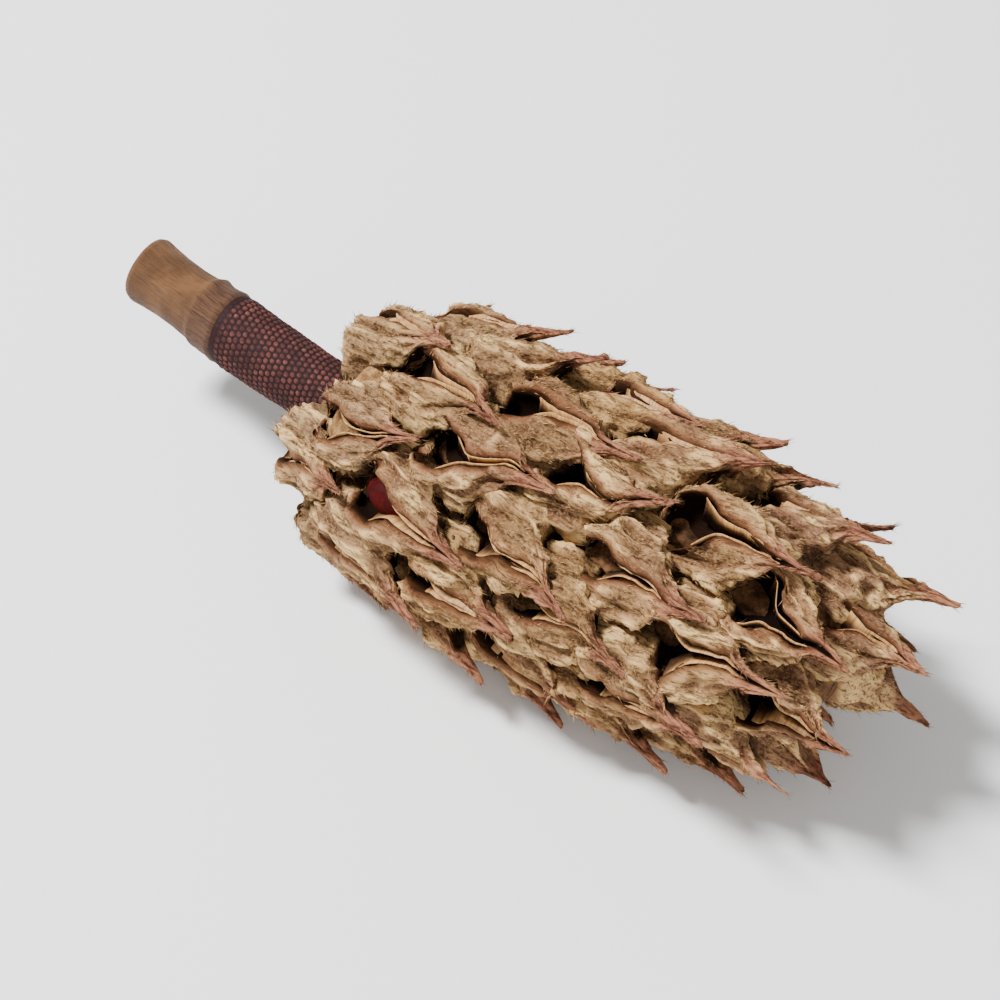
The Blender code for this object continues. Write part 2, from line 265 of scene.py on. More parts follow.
def follicle_frame(f):
    """The matrix from the follicle's own millimetres to the row's metres."""
    across = f["outward"].cross(f["forward"])
    axes = Matrix((f["forward"], across, f["outward"])).transposed()
    turn = Matrix.Rotation(f["yaw"], 3, "Z") @ Matrix.Rotation(f["roll"], 3, "X")
    scale = Matrix.Diagonal((f["size"] * MM,) * 3)
    frame_4x4 = (axes @ turn @ scale).to_4x4()
    place = Matrix.Translation(Vector(POD_START) + f["origin"])
    return place @ frame_4x4 @ Matrix.Translation((-BODY_MIDDLE, 0, 0))


def moved(matrix, points):
    """Points, an array whose last axis is x, y and z, through a 4x4 matrix."""
    m = np.array(matrix)
    return points @ m[:3, :3].T + m[:3, 3]


def unit(vectors):
    """Vectors scaled to a length of one."""
    return vectors / np.maximum(np.linalg.norm(vectors, axis=-1, keepdims=True), 1e-9)


def smooth_rows(table, at, first_slope=1.0):
    """The table's rows, evenly spaced over 0 to 1, read at each share by a curve that never overshoots."""
    rows = np.asarray(table, float)
    last = len(rows) - 1
    slope = np.diff(rows, axis=0)
    product = slope[1:] * slope[:-1]
    total = np.where(product > 0, slope[1:] + slope[:-1], 1)
    tangent = np.zeros_like(rows)
    tangent[1:-1] = np.where(product > 0, 2 * product / total, 0)
    tangent[0] = slope[0] * first_slope
    tangent[-1] = slope[-1]
    place = np.clip(np.asarray(at, float) * last, 0, last - 1e-9)
    k = place.astype(int)
    s = (place - k)[:, None]
    start = (1 + 2 * s) * (1 - s) ** 2 * rows[k] + s * (1 - s) ** 2 * tangent[k]
    return start + s**2 * (3 - 2 * s) * rows[k + 1] - s**2 * (1 - s) * tangent[k + 1]


def ring_weights(counts):
    """How much each control point of a section counts for each point of the smooth ring through them."""
    both = counts + counts[::-1]
    at = np.concatenate([k + np.arange(n) / n for k, n in enumerate(both)])
    k = at.astype(int)
    s = at - k
    weights = np.zeros((len(at), len(both)))
    shares = (
        (-1, -0.5 * s + s**2 - 0.5 * s**3),
        (0, 1 - 2.5 * s**2 + 1.5 * s**3),
        (1, 0.5 * s + 2 * s**2 - 1.5 * s**3),
        (2, -0.5 * s**2 + 0.5 * s**3),
    )
    for offset, share in shares:
        np.add.at(weights, (np.arange(len(at)), (k + offset) % len(both)), share)
    return weights


RING_WEIGHTS = ring_weights(AROUND_COUNTS)
AROUND = len(RING_WEIGHTS)


def follicle_lines(f, t):
    """At each share t of the length: the top and low lines, and the half width, split, depth and sway."""
    top_s, top_h, low_s, low_h, _, split, depth = smooth_rows(FOLLICLE_STATIONS, t).T
    half = smooth_rows(FOLLICLE_STATIONS, t, BACK_ROUNDING)[:, 4]
    beak = np.maximum(0, t - BEAK_START) / (1 - BEAK_START)
    lift = f["beak_lift"] * beak**1.5
    side = f["beak_side"] * beak**2
    sway = f["sway"] * np.sin(2 * math.pi * t + f["sway_phase"]) * np.minimum(1, half / FULL_HALF_WIDTH)
    above = np.clip(low_h / FULL_BEAK_HEIGHT, 0, 1)
    top = np.stack([top_s * f["length"], side, top_h * f["height"] + lift], 1)
    low = np.stack([low_s * f["length"], side, low_h + lift * above], 1)
    half = half * f["width"]
    return {
        "top": top,
        "low": low,
        "tall": np.maximum(np.linalg.norm(top - low, axis=1), 1e-6),
        "half": half,
        "split": np.minimum(split * f["gape"], half * MOST_SPLIT),
        "depth": depth,
        "sway": sway,
        "beak": beak,
    }


# A lip's waves: heights in millimetres (shares of the width for the flank's), lengths and rows of the noise.
STRAY_WAVES = ((0.30, 2.6, 1), (0.14, 0.9, 2))
CREST_WAVES = ((0.55, 3.4, 3),)
EDGE_WAVES = ((0.25, 1.5, 4),)
WIDTH_WAVES = ((0.14, 3.3, 9),)
EDGE_OVERLAP = 0.6


def lip_wander(f, line, side):
    """How far one lip strays sideways, and how far its crest and its edge rise, in millimetres."""
    along = line["top"][:, 0]
    seed = 2 * f["number"] + (side > 0)
    body = np.clip(line["half"] / FULL_HALF_WIDTH, 0, 1)
    overlap = side * f["overlap"]
    stray = waves(STRAY_WAVES, along, seed) * body
    crest = (waves(CREST_WAVES, along, seed) + overlap) * body
    edge = (waves(EDGE_WAVES, along, seed) + EDGE_OVERLAP * overlap) * body
    return stray, crest, edge


# Control points of the outer skin: shares of the section's height and of its half width.
FOOT = (0.25, 0.86)
FLANK = (0.60, 1.03)
CHEEK = (0.86, 0.86)
# Most that a lip may drop or rise, and a hollow reach down, as shares of the section's height.
MOST_DROP = 0.3
MOST_RISE = 0.2
MOST_DEEP = 0.85
# The slit: the least share of its split that stays open, how many millimetres its walls draw back behind the
# lip, and where they stand: shares of its depth, and for the lower one of its split.
LEAST_OPEN = 0.5
BEHIND_LIP = 0.2
UPPER_WALL = 0.35
LOWER_WALL = (0.85, 0.7)


def section_controls(f, line):
    """The control points of every cross section: shares of its height, and widths in millimetres."""
    half, split, depth, sway, tall = (line[k] for k in ("half", "split", "depth", "sway", "tall"))
    drop = np.minimum(LIP_DROP / tall, MOST_DROP)
    deep = np.minimum(depth / tall, MOST_DEEP)
    one = np.ones_like(tall)
    sides = []
    for side in (1, -1):
        stray, crest_rise, edge_rise = lip_wander(f, line, side)
        seed = 2 * f["number"] + (side > 0)
        wide = half * (1 + waves(WIDTH_WAVES, line["top"][:, 0], seed))
        inner = np.maximum(split + stray, LEAST_OPEN * split)
        crest = inner + LIP_SHARE * (wide - inner)
        rise = np.minimum(crest_rise / tall, MOST_RISE)
        edge = np.minimum(edge_rise / tall, MOST_RISE)
        behind = inner + BEHIND_LIP * np.minimum(1, split)
        sides.append(
            [
                (FOOT[0] * one, side * FOOT[1] * half),
                (FLANK[0] * one, side * FLANK[1] * wide),
                (CHEEK[0] * one, side * CHEEK[1] * wide),
                (1 + rise, sway + side * crest),
                (1 - drop + edge, sway + side * inner),
                (1 - drop - UPPER_WALL * deep, sway + side * behind),
                (1 - drop - LOWER_WALL[0] * deep, sway + side * LOWER_WALL[1] * split),
            ]
        )
    bed = (1 - drop - deep, sway)
    outline = [(0 * one, 0 * one), *sides[0], bed, *reversed(sides[1])]
    return np.array(outline).transpose(2, 0, 1)


# How far each control point counts as inside the slit, on its rim, low, or under an overhang.
INSIDE_CONTROLS = np.array([0, 0, 0, 0, 0, 0.55, 1, 1, 1, 1, 1, 0.55, 0, 0, 0, 0])
RIM_CONTROLS = np.array([0, 0, 0, 0, 0.25, 1, 0.4, 0, 0, 0, 0.4, 1, 0.25, 0, 0, 0])
# The low mask and the overhang mask below place the material's painted shade.
LOW_CONTROLS = np.array([1, 0.9, 0.45, 0.1, 0, 0, 0.55, 0.9, 1, 0.9, 0.55, 0, 0, 0.1, 0.45, 0.9])
OVER_CONTROLS = np.array([1, 1, 0.6, 0.1, 0, 0, 0, 0, 0, 0, 0, 0, 0, 0.1, 0.6, 1])


def grid_normals(points):
    """Outward normals of a closed tube of points, rings along the first axis."""
    du = np.gradient(points, axis=0)
    dv = np.roll(points, -1, axis=1) - np.roll(points, 1, axis=1)
    n = unit(np.cross(dv, du))
    middle = len(points) // 2
    facing = ((points[middle] - points[middle].mean(0)) * n[middle]).sum()
    return n if facing > 0 else -n


def settled(points):
    """Rings moved up where they would reach below the resting surface, and flat where they still touch it."""
    lowest = points[..., 2].min(1)
    eased = (FLOOR_BAND + FLOOR_BITE) * np.exp(lowest / FLOOR_BAND - 1) - FLOOR_BITE
    points = points.copy()
    points[..., 2] += np.where(lowest < FLOOR_BAND, eased - lowest, 0)[:, None]
    points[..., 2] = np.maximum(points[..., 2], 0)
    return points


# The dried skin's layers of noise: heights, seeds and the sizes of their bumps, all in millimetres.
SKIN_SEED = 200
SKIN_WARP = 0.8
SKIN_WARP_SIZE = 2.6
SKIN_WARP_SEEDS = (5, 6, 7)
SKIN_BUMPS = (
    (0.50, 0, (6.5, 2.7, 2.7)),
    (0.42, 1, (5.0, 1.2, 1.2)),
    (0.36, 8, (1.9, 1.1, 1.1)),
)
CREASE_HEIGHT = 0.60
CREASE_SIZE = (9.0, 1.9, 1.9)
GROOVE_HEIGHT = 0.15
FLANK_GROOVES = 0.45
GROOVE_SIZE = (6.0, 1.3, 1.3)
# From this share of the half width out, a lobe's flank draws in.
FLANK_FROM = 0.8
FLANK_DEPTH = 0.4
CALM_INSIDE = 0.75
# The long fold: its place, wander and width as shares of the half width, the rest in millimetres.
FOLD_PLACE = 0.66
FOLD_WANDER = 0.13
FOLD_WIDTH = 0.14
FOLD_WAVE = 4.5
FOLD_FADE = 3.5
FOLD_SHARE = 0.75
FOLD_FROM = 3
FOLD_DEPTH = 1.1
# The ribs along a follicle, and how much higher they stand on its beak and at the head's tip.
RIB_SEED = 800
RIBS_ROUND = 9
RIB_WAVES_ALONG = 2.6
RIB_HEIGHT = 0.30
BEAK_RIBS = 0.35
RIBS_AT_TIP = 0.8
RIBS_FROM = (0.78, 0.12)
# How much the ribs add to the relief, which paints a highlight on raised skin and shade in its dips.
RIB_RELIEF = 0.35
BEAK_SEED = 400
BEAK_SPREAD = 0.25
BEAK_GROOVES = 0.22
BEAK_GROOVE_SIZE = (5.0, 0.55, 0.55)
# Where a beak starts to fork and to spread, as shares of its length, and over how much of it.
FORK_FADE = (0.6, 0.4)
SPREAD_FADE = (0.7, 0.3)
# The stretch of a follicle that is drawn, just short of its ends.
FOLLICLE_SPAN = (0.004, 0.985)
# Half widths and a thickness, in millimetres, at which a follicle's skin has its full relief.
BODY_HALF_WIDTH = 3.0
LEAST_HALF_WIDTH = 0.3
THICK_SHARE = 0.35
FULL_THICKNESS = 2.5
OPEN_SPLIT = 0.3
# Stretches over which a colour fades: along the head, then along a follicle, where it overhangs the next.
BASE_LENGTH = 0.35
TIP_FADE = (0.6, 0.4)
# Towards the head's tip the painted shade low down and under overhangs is weaker by this share.
PALER_FADE = (0.82, 0.1)
PALER_SHARE = 0.8
# Where a follicle overhangs the next, its underside is painted with shadow; under the beak it covers the
# beak's colour.
OVERHANG_START = (0.58, 0.06)
OVERHANG_END = (0.90, 0.05)
UNDER_BEAK = (0.92, 0.08)
UNDER_SHARE = 0.7


def long_fold(points, across, seed):
    """How far each point lies in the long fold that runs along each side of a lobe, from 0 to 1."""
    along, side = points[..., 0], np.sign(across)
    wander = value_noise(np.stack([along / FOLD_WAVE, side, 0 * along], -1), seed + 3)
    fading = value_noise(np.stack([along / FOLD_FADE, 3 + side, 0 * along], -1), seed + 4)
    away = (np.abs(across) - FOLD_PLACE - FOLD_WANDER * wander) / FOLD_WIDTH
    return np.clip(FOLD_SHARE + fading, 0, 1) * np.exp(-(away**2)) * (points[..., 2] > FOLD_FROM)


def skin_push(f, points, across, inside, body):
    """How far the dried skin is pushed out at each point, its share of a long fold, and its relief."""
    seed = SKIN_SEED + f["number"]
    strays = [value_noise(points / SKIN_WARP_SIZE, seed + k) for k in SKIN_WARP_SEEDS]
    warped = points + SKIN_WARP * np.stack(strays, -1)
    flank = np.clip((np.abs(across) - FLANK_FROM) / (1 - FLANK_FROM), 0, 1)
    skin = sum(height * value_noise(warped / size, seed + k) for height, k, size in SKIN_BUMPS)
    skin = skin + CREASE_HEIGHT * ridged(warped / CREASE_SIZE, seed + 2)
    skin = skin + (GROOVE_HEIGHT + FLANK_GROOVES * flank) * ridged(warped / GROOVE_SIZE, seed + 9)
    fold = long_fold(points, across, seed)
    push = skin - FOLD_DEPTH * fold - FLANK_DEPTH * flank
    return push * (1 - CALM_INSIDE * inside) * body, fold * body, 0.5 + 0.5 * skin


def lengthwise_ribs(f, t):
    """Ridges from -1 to 1 that run along a follicle and draw together at its beak."""
    turn = np.abs(2 * np.arange(AROUND) / AROUND - 1) * RIBS_ROUND
    along = t[:, None] * RIB_WAVES_ALONG
    place = np.stack([turn + 0 * along, along + 0 * turn, 0 * turn + 0 * along], -1)
    return ridged(place, RIB_SEED + f["number"])


def shaped_beak(f, line, points, across):
    """Forks, spreads and grooves a follicle's beak, by changing its points."""
    beak = line["beak"][:, None]
    notch = f["fork"] * fade_in(beak, *FORK_FADE) ** 1.5
    grooves = value_noise(points / BEAK_GROOVE_SIZE, BEAK_SEED + f["number"]) * np.clip(beak * 2, 0, 1)
    points[..., 0] -= notch * (1 - np.abs(across))
    points[..., 1] += BEAK_SPREAD * across * fade_in(beak, *SPREAD_FADE) ** 2
    points[..., 2] += BEAK_GROOVES * grooves * np.clip(line["half"], 0, 1)[:, None]


def follicle_facts(f, t, line, points, inside):
    """What the material reads at each point of a follicle: shares from 0 to 1, and its own millimetres."""
    controls = (RIM_CONTROLS, LOW_CONTROLS, OVER_CONTROLS)
    rim, low, over = (np.broadcast_to(RING_WEIGHTS @ c, inside.shape) for c in controls)
    open_enough = np.clip(line["split"] / OPEN_SPLIT, 0, 1)[:, None]
    beak = line["beak"][:, None]
    shaded = 1 - PALER_SHARE * fade_in(f["share"], *PALER_FADE)
    overhang = (fade_in(t, *OVERHANG_START) * fade_out(t, *OVERHANG_END))[:, None]
    flat = np.ones(inside.shape)
    return {
        "inside": inside * open_enough,
        "rim": rim * open_enough,
        # Masks of painted shade, low down and under an overhang, weaker at the head's tip.
        "low": low * (1 - beak) * shaded,
        "over": over * overhang * shaded,
        # The beak's colour gives way to the painted shadow on its underside.
        "beak": beak * (1 - UNDER_SHARE * over * fade_out(t, *UNDER_BEAK)[:, None]),
        "base": np.clip(1 - f["share"] / BASE_LENGTH, 0, 1) * flat,
        "tip": fade_in(f["share"], *TIP_FADE) * flat,
        "tone": f["tone"] * flat,
        "across": points[..., 1],
        "up": points[..., 2],
        "forward": points[..., 0],
    }


def follicle_surface(f):
    """The rings of one follicle in the row's frame, and what the material reads at each point."""
    t = np.linspace(*FOLLICLE_SPAN, ALONG_COUNT)
    line = follicle_lines(f, t)
    ring = np.einsum("jc,icd->ijd", RING_WEIGHTS, section_controls(f, line))
    rise = line["top"] - line["low"]
    points = line["low"][:, None] + rise[:, None] * ring[..., :1]
    points[..., 1] += ring[..., 1]
    inside = np.broadcast_to(RING_WEIGHTS @ INSIDE_CONTROLS, ring.shape[:2])
    body = np.clip(line["half"] / BODY_HALF_WIDTH, 0, 1)[:, None]
    across = np.clip(ring[..., 1] / np.maximum(line["half"][:, None], LEAST_HALF_WIDTH), -1, 1)
    push, fold, relief = skin_push(f, points, across, inside, body)
    ribs = lengthwise_ribs(f, t) * (1 - inside) * (1 + RIBS_AT_TIP * fade_in(f["share"], *RIBS_FROM))
    thick = np.clip(np.maximum(line["half"], THICK_SHARE * line["tall"]) / FULL_THICKNESS, 0, 1)[:, None]
    push = push + (RIB_HEIGHT + BEAK_RIBS * line["beak"][:, None]) * ribs * thick
    points = points + grid_normals(points) * push[..., None]
    shaped_beak(f, line, points, across)
    placed = settled(moved(follicle_frame(f), points))
    facts = follicle_facts(f, t, line, points, inside)
    # The relief paints a highlight on raised skin and shade in its dips.
    facts.update({"fold": fold, "relief": relief + RIB_RELIEF * ribs})
    return placed, facts


def tube_faces(rings, sides, start):
    """Quads between rings of points, and the two end caps."""
    i, j = np.meshgrid(np.arange(rings - 1), np.arange(sides), indexing="ij")
    a = start + i * sides + j
    b = start + i * sides + (j + 1) % sides
    quads = np.stack([a, b, b + sides, a + sides], -1).reshape(-1, 4)
    faces = [tuple(q) for q in quads.tolist()]
    end = start + (rings - 1) * sides
    faces.append(tuple(range(start + sides - 1, start - 1, -1)))
    faces.append(tuple(range(end, end + sides)))
    return faces


def mesh_of(name, points, faces, facts=None):
    """A mesh with its normals outward and one value per point for each fact."""
    mesh = bpy.data.meshes.new(name)
    mesh.from_pydata(points.tolist(), [], faces)
    for key, values in (facts or {}).items():
        layer = mesh.attributes.new(key, "FLOAT", "POINT")
        layer.data.foreach_set("value", np.asarray(values, np.float32).ravel())
    made = bmesh.new()
    made.from_mesh(mesh)
    bmesh.ops.triangulate(made, faces=[f for f in made.faces if len(f.verts) > 4])
    bmesh.ops.recalc_face_normals(made, faces=made.faces)
    made.to_mesh(mesh)
    made.free()
    mesh.shade_smooth()
    return mesh


class Parts:
    """Tubes gathered into one mesh."""

    def __init__(self):
        self.points, self.faces, self.facts, self.count = [], [], {}, 0

    def add(self, rings, facts):
        rings = np.asarray(rings)
        self.faces += tube_faces(len(rings), rings.shape[1], self.count)
        self.points.append(rings.reshape(-1, 3))
        self.count += rings.shape[0] * rings.shape[1]
        for key, values in facts.items():
            self.facts.setdefault(key, []).append(np.broadcast_to(values, rings.shape[:2]).ravel())

    def mesh(self, name):
        facts = {key: np.concatenate(values) for key, values in self.facts.items()}
        return mesh_of(name, np.concatenate(self.points), self.faces, facts)


def tube_mesh(name, rings, facts):
    """One tube as a mesh."""
    parts = Parts()
    parts.add(rings, facts)
    return parts.mesh(name)


def add_piece(name, mesh, material, replaced=()):
    """Puts a piece in the scene, riding on the pod's one body."""
    piece = bpy.data.objects.new(name, mesh)
    bpy.context.scene.collection.objects.link(piece)
    mesh.materials.clear()
    mesh.materials.append(material)
    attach(piece, "root")
    if replaced:
        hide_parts(*replaced)


# The linings: where they run along a follicle, how far they peel off its wall and rise over its lip.
LINING_SEED = 600
LINING_COUNT = 44
LINING_FROM = 0.36
LINING_TO = 0.84
LINING_END = 0.10
LINING_THICKNESS = 0.16
LINING_DEPTHS = (0.22, 0.62)
LEAST_PEEL = 0.24
PEEL_FROM = 0.6
PEEL_SHARE = 0.5
PEEL_MEAN = 0.7
PEEL_WAVES = ((0.5, 3.1, 1),)
NEAREST_WALL = 0.12
LINING_RISE = 0.24
LINING_SINK = 0.5
FREE_WAVES = ((0.34, 2.2, 2),)
FREE_WITH_LIP = 0.3
# How far the sheet's middle has left the wall, and its foot as a share of the wall's place.
MIDDLE_PEEL = 0.75
LINING_FOOT = 0.55


def lining_rings(f, side):
    """One papery lining of a follicle: a thin curved sheet along one wall of the slit, its free edge wavy."""
    t = np.linspace(LINING_FROM, LINING_TO, LINING_COUNT)
    line = follicle_lines(f, t)
    stray, _, edge_rise = lip_wander(f, line, side)
    inner = np.maximum(line["split"] + stray, LEAST_OPEN * line["split"])
    along = line["top"][:, 0]
    seed = LINING_SEED + 2 * f["number"] + (side > 0)
    ends = np.clip(np.minimum(t - LINING_FROM, LINING_TO - t) / LINING_END, 0, 1)
    wide_open = np.maximum(0, line["split"] - PEEL_FROM)
    peel = (LEAST_PEEL + PEEL_SHARE * wide_open) * (PEEL_MEAN + waves(PEEL_WAVES, along, seed))
    out = np.maximum(inner - np.maximum(peel, NEAREST_WALL) * ends, NEAREST_WALL * inner)
    free = LINING_RISE + waves(FREE_WAVES, along, seed) + FREE_WITH_LIP * edge_rise
    free = free * ends - LINING_SINK * (1 - ends)
    drop = np.minimum(LIP_DROP / line["tall"], MOST_DROP)
    deep = np.minimum(line["depth"] / line["tall"], MOST_DEEP)
    heights = (1 - drop + free / line["tall"], *(1 - drop - share * deep for share in LINING_DEPTHS))
    places = (out, MIDDLE_PEEL * out + (1 - MIDDLE_PEEL) * inner, LINING_FOOT * inner)
    rise = line["top"] - line["low"]
    sheet = []
    for thickness in (0.5 * LINING_THICKNESS, -0.5 * LINING_THICKNESS):
        walls = []
        for height, place in zip(heights, places):
            points = line["low"] + rise * height[:, None]
            points[:, 1] += line["sway"] + side * (place + thickness)
            walls.append(points)
        sheet.append(walls)
    ring = sheet[0] + sheet[1][::-1]
    # How deep each edge of the sheet lies, for the painted shade that darkens it.
    depth = np.array([0, 0.4, 1, 1, 0.4, 0])
    return np.stack(ring, 1), np.broadcast_to(depth, (LINING_COUNT, 6))


def linings_mesh(follicles):
    """The linings of all the follicles."""
    parts = Parts()
    for f in follicles:
        for side in (1, -1):
            rings, depth = lining_rings(f, side)
            placed = settled(moved(follicle_frame(f), rings))
            parts.add(placed, {"depth": depth, "tone": f["tone"], "forward": rings[..., 0]})
    return parts.mesh("linings")


HAIRS_A_FOLLICLE = 760
HAIR_SEED = 5
HAIR_LENGTHS = (0.5 * MM, 1.5 * MM)
HAIR_RADII = (0.045 * MM, 0.085 * MM)
HAIR_SUNK = 0.08 * MM
# How far hairs stand up and stray sideways, against their lie along the follicle.
HAIR_LIE = (0.10, 0.55)
HAIR_STRAY = 0.35
# How fast the felt thins inside a slit, low down and towards a beak, and how much of it the beak loses.
THIN_INSIDE = 1.6
THIN_LOW = 1.5
THIN_BEAK = 1.6
BARE_BEAK = 0.75
FACES_A_HAIR = ((0, 2, 1), (0, 1, 3), (1, 2, 3), (2, 0, 3))


def hairs(f, rings, facts, draw):
    """One follicle's felt: closed three-sided spikes that lie forward on its outer skin, each with a tone."""
    count = HAIRS_A_FOLLICLE
    normals = grid_normals(rings)
    ahead = unit(np.gradient(rings, axis=0))
    weight = np.clip(1 - THIN_INSIDE * facts["inside"], 0, 1) * np.clip(1 - THIN_LOW * facts["low"], 0, 1)
    weight = weight * (1 - BARE_BEAK * np.clip(THIN_BEAK * facts["beak"], 0, 1))
    weight[-1] = 0
    picked = draw.choice(weight.size, count, p=(weight / weight.sum()).ravel())
    i, j = np.unravel_index(picked, weight.shape)
    u, v = draw.uniform(size=(2, count, 1))
    beside = (j + 1) % rings.shape[1]
    root = rings[i, j] + u * (rings[i + 1, j] - rings[i, j]) + v * (rings[i, beside] - rings[i, j])
    out, along = normals[i, j], ahead[i, j]
    across = np.cross(out, along)
    lie = draw.uniform(*HAIR_LIE, (count, 1))
    aim = unit(along + lie * out + draw.normal(0, HAIR_STRAY, (count, 1)) * across)
    length = draw.uniform(*HAIR_LENGTHS, (count, 1))
    radius = draw.uniform(*HAIR_RADII, (count, 1))
    side = unit(np.cross(aim, out))
    up = np.cross(side, aim)
    root = root - HAIR_SUNK * out
    turns = [2 * math.pi * k / 3 for k in range(3)]
    corners = [root + radius * (math.cos(a) * side + math.sin(a) * up) for a in turns]
    spikes = np.stack([*corners, root + length * aim], 1)
    spikes[..., 2] = np.maximum(spikes[..., 2], 0)
    tone = np.repeat(draw.uniform(size=(count, 1)), 4, 1)
    return spikes, {"tone": tone, "beak": np.repeat(facts["beak"][i, j][:, None], 4, 1)}


def fuzz_mesh(name, surfaces, draw):
    """The felt of several follicles in one mesh."""
    grown = [hairs(f, rings, facts, draw) for f, rings, facts in surfaces]
    points = np.concatenate([spikes for spikes, _ in grown]).reshape(-1, 3)
    starts = 4 * np.arange(len(points) // 4)
    faces = (starts[:, None, None] + np.array(FACES_A_HAIR)).reshape(-1, 3)
    facts = {key: np.concatenate([found[key].ravel() for _, found in grown]) for key in ("tone", "beak")}
    return mesh_of(name, points, faces.tolist(), facts)


class Nodes:
    """Short calls for a material's nodes."""

    def __init__(self, name):
        self.material = bpy.data.materials.new(name)
        self.material.use_nodes = True
        self.tree = self.material.node_tree
        self.shader = self.tree.nodes["Principled BSDF"]

    def add(self, kind, **settings):
        node = self.tree.nodes.new(kind)
        for key, value in settings.items():
            setattr(node, key, value)
        return node

    def join(self, value, socket):
        if isinstance(value, bpy.types.NodeSocket):
            self.tree.links.new(value, socket)
        else:
            socket.default_value = linear(value) if isinstance(value, str) else value

    def fact(self, name):
        return self.add("ShaderNodeAttribute", attribute_name=name).outputs["Fac"]

    def math(self, operation, a, b=0.0, c=0.0):
        node = self.add("ShaderNodeMath", operation=operation)
        for socket, value in zip(node.inputs, (a, b, c)):
            self.join(value, socket)
        return node.outputs[0]

    def ramp(self, value, low, high, out_low=0.0, out_high=1.0):
        node = self.add("ShaderNodeMapRange", interpolation_type="SMOOTHSTEP")
        for socket, number in zip(node.inputs, (value, low, high, out_low, out_high)):
            self.join(number, socket)
        return node.outputs[0]

    def mix(self, share, a, b):
        node = self.add("ShaderNodeMix", data_type="RGBA")
        for index, value in ((0, share), (6, a), (7, b)):
            self.join(value, node.inputs[index])
        return node.outputs[2]

    def layered(self, colour, *layers):
        """The colour mixed in turn with each layer's colour, by that layer's share."""
        for share, over in layers:
            colour = self.mix(share, colour, over)
        return colour

    def place(self):
        return self.add("ShaderNodeTexCoord").outputs["Object"]

    def noise(self, vector, scale, detail, roughness=0.55):
        node = self.add("ShaderNodeTexNoise")
        self.join(vector, node.inputs["Vector"])
        for key, value in (("Scale", scale), ("Detail", detail), ("Roughness", roughness)):
            node.inputs[key].default_value = value
        return node.outputs["Fac"]

    def vector(self, x, y, z):
        node = self.add("ShaderNodeCombineXYZ")
        for socket, value in zip(node.inputs, (x, y, z)):
            self.join(value, socket)
        return node.outputs[0]

    def bump(self, height, distance, strength, under=None):
        node = self.add("ShaderNodeBump")
        node.inputs["Strength"].default_value = strength
        node.inputs["Distance"].default_value = distance
        self.join(height, node.inputs["Height"])
        if under is not None:
            self.join(under, node.inputs["Normal"])
        return node.outputs[0]

    def finish(self, colour, roughness, normal=None, **constants):
        self.join(colour, self.shader.inputs["Base Color"])
        self.join(roughness, self.shader.inputs["Roughness"])
        if normal is not None:
            self.join(normal, self.shader.inputs["Normal"])
        for key, value in constants.items():
            self.shader.inputs[key.replace("_", " ")].default_value = value
        return self.material


def fuzz_material():
    """The felt's hairs: pale straw to brown, each of one tone."""
    n = Nodes("fuzz_hair")
    clouds = n.noise(n.place(), 300, 2)
    colour = n.layered(
        n.mix(n.fact("tone"), "85603c", "d3ac78"),
        (n.ramp(clouds, 0.4, 0.65, 0, 0.6), "6e4b30"),
        (n.ramp(n.fact("beak"), 0.2, 0.6, 0, 0.65), "93624c"),
    )
    return n.finish(colour, 0.85, Specular_IOR_Level=0.1)


